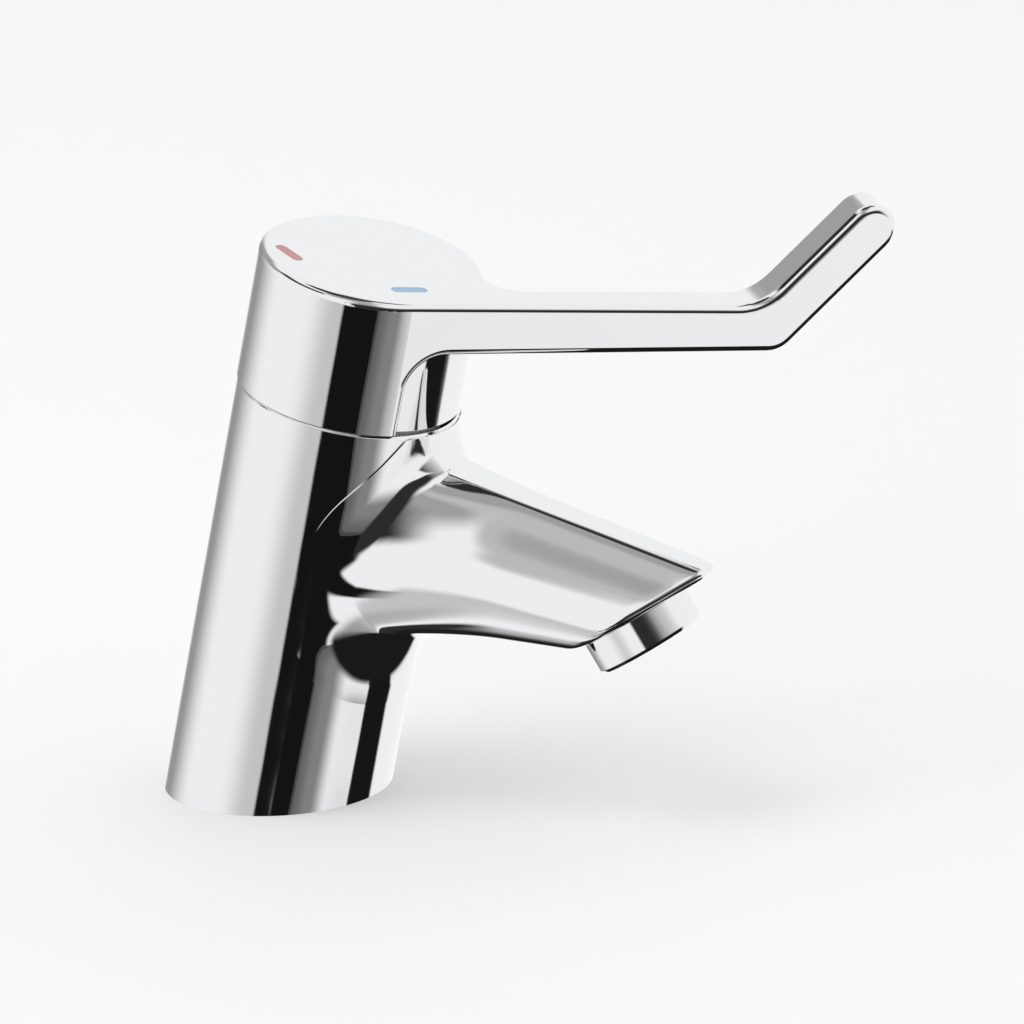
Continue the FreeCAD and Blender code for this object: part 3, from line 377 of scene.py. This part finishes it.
def spread(keys, steps):
    """Points on a smooth curve through keys, steps to each gap."""
    padded = np.vstack([2 * keys[0] - keys[1], keys, 2 * keys[-1] - keys[-2]])
    rows = []
    for i in range(1, len(padded) - 2):
        before, here, there, after = padded[i - 1:i + 3]
        for t in np.arange(steps) / steps:
            rows.append(here + 0.5 * (
                (there - before) * t + (2 * before - 5 * here + 4 * there - after) * t ** 2
                + (3 * here - before - 3 * there + after) * t ** 3))
    rows.append(keys[-1])
    return np.array(rows)


def unit(directions):
    """Each direction at a length of one."""
    return directions / np.linalg.norm(directions, axis=1)[:, None]


def from_axis(points):
    """The way from the column's axis to each point, square to the axis."""
    return points - (points @ COLUMN_AXIS)[:, None] * COLUMN_AXIS


def column_point(width, height, stand_off=0.0):
    """The column's front point at a half width and a height."""
    reach = np.sqrt(COLUMN_RADIUS ** 2 - width ** 2)
    along = (height + reach * math.sin(COLUMN_LEAN)) / math.cos(COLUMN_LEAN)
    front = reach * math.cos(COLUMN_LEAN) + along * math.sin(COLUMN_LEAN) + stand_off
    return np.stack([front, width, height], -1)


def set_on_column(points, rise):
    """The points moved square to the axis until they stand at a rise over the column."""
    out = from_axis(points)
    radius = np.linalg.norm(out, axis=1)
    return points + unit(out) * (COLUMN_RADIUS + rise - radius)[:, None]


def mouth_point(along, width):
    """A point of the mouth's plane, from its middle along its slope."""
    x = MOUTH_MIDDLE[0] + along * math.cos(MOUTH_SLOPE)
    z = MOUTH_MIDDLE[1] + along * math.sin(MOUTH_SLOPE)
    return np.stack([x, width, z], -1)


def bezier_rows(start, hold_start, hold_end, end, rows):
    """Rows of points from start up to, but not at, the end."""
    return [start * (1 - t) ** 3 + 3 * hold_start * t * (1 - t) ** 2
            + 3 * hold_end * t * t * (1 - t) + end * t ** 3 for t in np.arange(rows) / rows]


class SpoutLines:
    """Lines along the spout: each flares out of the column and then runs straight to the mouth."""

    def __init__(self):
        keys = np.array([[*foot, off, *landing, *reaches, *middle, *mouth]
                         for foot, off, landing, *reaches, middle, mouth in SPOUT_LINES])
        (width, height, off, landing_width, landing_height, self.reach, self.blend_run,
         middle_width, middle_share, mouth_width, mouth_share) = spread(keys, LINE_STEPS).T
        self.landing = column_point(landing_width, landing_height)
        corner = column_point(width, height, off)
        inward = unit(from_axis(self.landing))
        depth = ((self.landing - corner) * inward).sum(1) * np.clip(1 - off / FREE_STAND_OFF, 0, 1)
        self.corner = corner + inward * depth[:, None]
        middle = MIDDLE_FOOT + (MIDDLE_TOP - MIDDLE_FOOT) * middle_share[:, None]
        self.middle = np.stack([middle[:, 0], middle_width, middle[:, 1]], -1)
        self.mouth = mouth_point(HEEL + (RIDGE_END - HEEL) * mouth_share, mouth_width)
        self.mouth_middle = mouth_point(np.zeros_like(mouth_width), np.zeros_like(mouth_width))
        flare_length = np.linalg.norm(self.middle - self.corner, axis=1)
        self.length = flare_length + np.linalg.norm(self.mouth - self.middle, axis=1)
        self.middle_at = (flare_length / self.length)[:, None]

    def at(self, share):
        """The point of each line at its share of the way from the corner to the mouth."""
        share = share[:, None]
        run = (self.mouth - self.middle) / (1 - self.middle_at)
        flare_start = (3 * (self.middle - self.corner) / self.middle_at - run) / 2
        t = np.clip(share / self.middle_at, 0, 1)
        flare = (self.corner * (1 + 2 * t) * (1 - t) ** 2 + self.middle * t * t * (3 - 2 * t)
                 + self.middle_at * (flare_start * t * (1 - t) ** 2 - run * t * t * (1 - t)))
        return flare + run * np.maximum(share - self.middle_at, 0)

    def heading(self, share):
        """The direction of each line at its share."""
        return unit(self.at(share + HEADING_STEP) - self.at(share - HEADING_STEP))


def strip_rows(lines):
    """The rim beyond the landings, which sinks into the column and ends below the seam."""
    beyond = unit(lines.landing - lines.corner)
    room = (SEAM_EDGE - lines.landing @ COLUMN_AXIS) / np.maximum(beyond @ COLUMN_AXIS, LEAST_CLIMB)
    width = np.minimum(STRIP_WIDTH, room)[:, None]
    return [set_on_column(lines.landing + beyond * width * share, -STRIP_DROP * share ** 2)
            for share in np.arange(STRIP_ROWS, 0, -1) / STRIP_ROWS]


def landing_rows(lines, start):
    """From the landings over the column to where the blend starts."""
    rise = np.maximum(np.linalg.norm(from_axis(start), axis=1) - COLUMN_RADIUS, 0)
    return [set_on_column(lines.landing + (start - lines.landing) * share, rise * share ** 2)
            for share in np.arange(LANDING_ROWS) / LANDING_ROWS]


def blend_rows(lines, start, leave):
    """The rounded way from the column to the spout, left at a share of each line."""
    end = lines.at(leave)
    hold = np.linalg.norm(end - lines.corner, axis=1)[:, None] * BLEND_HOLD
    return bezier_rows(start, start + (lines.corner - start) * BLEND_HOLD,
                       end - lines.heading(leave) * hold, end, BLEND_ROWS)


def mouth_rows(lines, rounding, edge):
    """The rounded edge of the mouth and the flat ring inside it."""
    inward = unit(lines.mouth_middle - lines.mouth)
    edge_end = lines.mouth + inward * rounding
    lip = lines.mouth_middle - inward * LIP_RADIUS
    rows = bezier_rows(lines.at(edge), lines.at(edge) + lines.heading(edge) * rounding * BLEND_HOLD,
                       edge_end - inward * rounding * BLEND_HOLD, edge_end, EDGE_ROWS)
    return rows + [edge_end + (lip - edge_end) * k / LIP_ROWS for k in range(LIP_ROWS + 1)]


def spout_rows(rounding):
    """Rows of points for one half of the spout, from the column to the ring in its mouth."""
    lines = SpoutLines()
    to_landing = lines.landing - lines.corner
    distance = np.linalg.norm(to_landing, axis=1)
    start = lines.corner + to_landing * np.minimum(lines.reach / distance, 1)[:, None]
    leave = lines.blend_run / lines.length
    edge = 1 - rounding / lines.length
    run = [lines.at(leave + (edge - leave) * k / RUN_ROWS) for k in range(RUN_ROWS)]
    return np.array(strip_rows(lines) + landing_rows(lines, start) + blend_rows(lines, start, leave)
                    + run + mouth_rows(lines, rounding, edge))


class TAP_OT_spout(bpy.types.Operator):
    """Draws the spout's plated outside, which flows out of the column"""
    bl_idname = "tap.spout"
    bl_label = "Spout"

    def execute(self, context):
        settings = context.scene.tap_spout
        half = spout_rows(settings.mouth_rounding / MILLIMETRE) * MILLIMETRE
        other_half = half[:, ::-1] * (1, -1, 1)
        full = np.concatenate([half, other_half[:, 1:]], axis=1)
        bpy.ops.object.select_all(action="DESELECT")
        bpy.ops.mesh.primitive_grid_add(x_subdivisions=full.shape[1] - 1, y_subdivisions=full.shape[0] - 1)
        spout = context.object
        spout.name = "spout_skin"
        spout.data.vertices.foreach_set("co", full.astype(np.float32).ravel())
        bpy.ops.object.mode_set(mode="EDIT")
        bpy.ops.mesh.select_all(action="SELECT")
        bpy.ops.mesh.remove_doubles(threshold=0.001 * MILLIMETRE)
        bpy.ops.mesh.flip_normals()
        bpy.ops.object.mode_set(mode="OBJECT")
        wall = spout.modifiers.new("wall", "SOLIDIFY")
        wall.thickness = settings.wall
        wall.offset = -1
        bpy.ops.object.modifier_apply(modifier="wall")
        bpy.ops.object.shade_smooth_by_angle(angle=settings.smooth_angle)
        spout.data.materials.append(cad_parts["body_casting"].data.materials[0])
        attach(spout, "tap_body")
        return {"FINISHED"}


def ramp_mask(tree, value, limits):
    """One between the inner limits, fading to nothing at the outer ones."""
    low, full_low, full_high, high = limits
    up = add_node(tree, "ShaderNodeMapRange", {0: value, 1: low, 2: full_low},
                  interpolation_type="SMOOTHSTEP")
    down = add_node(tree, "ShaderNodeMapRange", {0: value, 1: full_high, 2: high, 3: 1.0, 4: 0.0},
                    interpolation_type="SMOOTHSTEP")
    return add_node(tree, "ShaderNodeMath", {0: up.outputs[0], 1: down.outputs[0]},
                    operation="MULTIPLY").outputs[0]


def studio_world(settings):
    """A white surround with the panels, seen in the chrome, and plain white for the camera."""
    world = bpy.data.worlds.new("studio_world")
    world.use_nodes = True
    tree = world.node_tree
    direction = add_node(tree, "ShaderNodeTexCoord").outputs["Generated"]
    turned = add_node(tree, "ShaderNodeVectorRotate", {
        "Vector": direction, "Angle": -settings.azimuth}, rotation_type="Z_AXIS")
    parts = add_node(tree, "ShaderNodeSeparateXYZ", {0: turned.outputs[0]})
    front = add_node(tree, "ShaderNodeMath", {0: parts.outputs["Y"], 1: -1.0}, operation="MULTIPLY")
    turn = add_node(tree, "ShaderNodeMath", {0: parts.outputs["X"], 1: front.outputs[0]},
                    operation="ARCTAN2")
    azimuth = add_node(tree, "ShaderNodeMath", {0: turn.outputs[0], 1: math.degrees(1)},
                       operation="MULTIPLY").outputs[0]
    rise = add_node(tree, "ShaderNodeMath", {0: parts.outputs["Z"]}, operation="ARCSINE")
    elevation = add_node(tree, "ShaderNodeMath", {0: rise.outputs[0], 1: math.degrees(1)},
                         operation="MULTIPLY").outputs[0]
    shade = settings.surround
    for across, upright, grey in STUDIO_PANELS:
        mask = add_node(tree, "ShaderNodeMath", {
            0: ramp_mask(tree, azimuth, across), 1: ramp_mask(tree, elevation, upright)},
            operation="MULTIPLY")
        shade = add_node(tree, "ShaderNodeMix", {
            "Factor": mask.outputs[0], "A": shade, "B": grey}).outputs["Result"]
    seen = add_node(tree, "ShaderNodeLightPath").outputs["Is Camera Ray"]
    strength = add_node(tree, "ShaderNodeMix", {"Factor": seen, "A": shade, "B": 1.0})
    background = tree.nodes["Background"]
    background.inputs["Color"].default_value = (1, 1, 1, 1)
    tree.links.new(strength.outputs["Result"], background.inputs["Strength"])
    return world


def studio_camera(settings):
    """A distant camera on the tap's side, rolled a little."""
    elevation, azimuth, roll = settings.elevation, settings.azimuth, settings.roll
    back = Vector((math.cos(elevation) * math.sin(azimuth),
                   -math.cos(elevation) * math.cos(azimuth), math.sin(elevation)))
    right = Vector((math.cos(azimuth), math.sin(azimuth), 0))
    up = back.cross(right)
    across = right * math.cos(roll) + up * math.sin(roll)
    upright = up * math.cos(roll) - right * math.sin(roll)
    data = bpy.data.cameras.new("studio_camera")
    data.lens = settings.lens
    data.clip_end = 100
    camera = bpy.data.objects.new("studio_camera", data)
    bpy.context.collection.objects.link(camera)
    turn = Matrix((across, upright, back)).transposed().to_4x4()
    place = back * settings.distance + across * settings.shift[0] + upright * settings.shift[1]
    camera.matrix_world = Matrix.Translation(place) @ turn
    return camera


def studio_floor(settings):
    """A white floor at the tap's foot, which isn't seen in the chrome."""
    bpy.ops.mesh.primitive_plane_add(size=settings.floor_size, location=(0, 0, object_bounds()[0][2]))
    floor = bpy.context.object
    floor.name = "studio_floor"
    floor.visible_glossy = False
    material, shader, _ = new_material("studio_floor")
    shader.inputs["Base Color"].default_value = (0.85, 0.85, 0.85, 1)
    shader.inputs["Roughness"].default_value = 0.9
    shader.inputs["Emission Color"].default_value = (1, 1, 1, 1)
    shader.inputs["Emission Strength"].default_value = settings.floor_glow
    floor.data.materials.append(material)
    return floor


def studio_softbox(settings):
    """A square lamp above the tap, turned to it."""
    lamp = bpy.data.lights.new("overhead_softbox", "AREA")
    lamp.energy = settings.softbox_power
    lamp.size = settings.softbox_size
    softbox = bpy.data.objects.new("overhead_softbox", lamp)
    bpy.context.collection.objects.link(softbox)
    place = Vector(settings.softbox_place)
    softbox.location = place
    softbox.rotation_euler = place.to_track_quat("Z", "Y").to_euler()
    softbox.visible_glossy = False


class TAP_OT_stage(bpy.types.Operator):
    """Sets the floor, the studio, the lamp and the camera"""
    bl_idname = "tap.stage"
    bl_label = "Studio"

    def execute(self, context):
        scene = context.scene
        settings = scene.tap_studio
        scene.view_settings.view_transform = "Standard"
        scene.world = studio_world(settings)
        scene.camera = studio_camera(settings)
        studio_floor(settings)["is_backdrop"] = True
        studio_softbox(settings)
        return {"FINISHED"}


class TAP_PT_sidebar(bpy.types.Panel):
    """Lists the tap's pieces"""
    bl_idname = "TAP_PT_sidebar"
    bl_label = "Basin mixer tap"
    bl_space_type = "VIEW_3D"
    bl_region_type = "UI"
    bl_category = "Tap"

    def draw(self, context):
        for operator in OPERATORS:
            self.layout.operator(operator.bl_idname)


SETTINGS = {"tap_chrome": ChromeSettings, "tap_colours": PartColours, "tap_spout": SpoutSettings,
            "tap_studio": StudioSettings}
OPERATORS = (TAP_OT_plating, TAP_OT_spout, TAP_OT_seals, TAP_OT_mouldings, TAP_OT_discs,
             TAP_OT_turned_parts, TAP_OT_marks, TAP_OT_stage)


def register():
    for name, group in SETTINGS.items():
        bpy.utils.register_class(group)
        setattr(bpy.types.Scene, name, PointerProperty(type=group))
    for cls in (*OPERATORS, TAP_PT_sidebar):
        bpy.utils.register_class(cls)


def unregister():
    for cls in (TAP_PT_sidebar, *OPERATORS):
        bpy.utils.unregister_class(cls)
    for name, group in SETTINGS.items():
        delattr(bpy.types.Scene, name)
        bpy.utils.unregister_class(group)


def main():
    register()
    bpy.ops.object.select_all(action="DESELECT")
    bpy.ops.tap.plating()
    bpy.ops.tap.spout()
    bpy.ops.tap.seals()
    bpy.ops.tap.mouldings()
    bpy.ops.tap.discs()
    bpy.ops.tap.turned_parts()
    bpy.ops.tap.marks()
    bpy.ops.tap.stage()


if __name__ == "__main__":
    main()
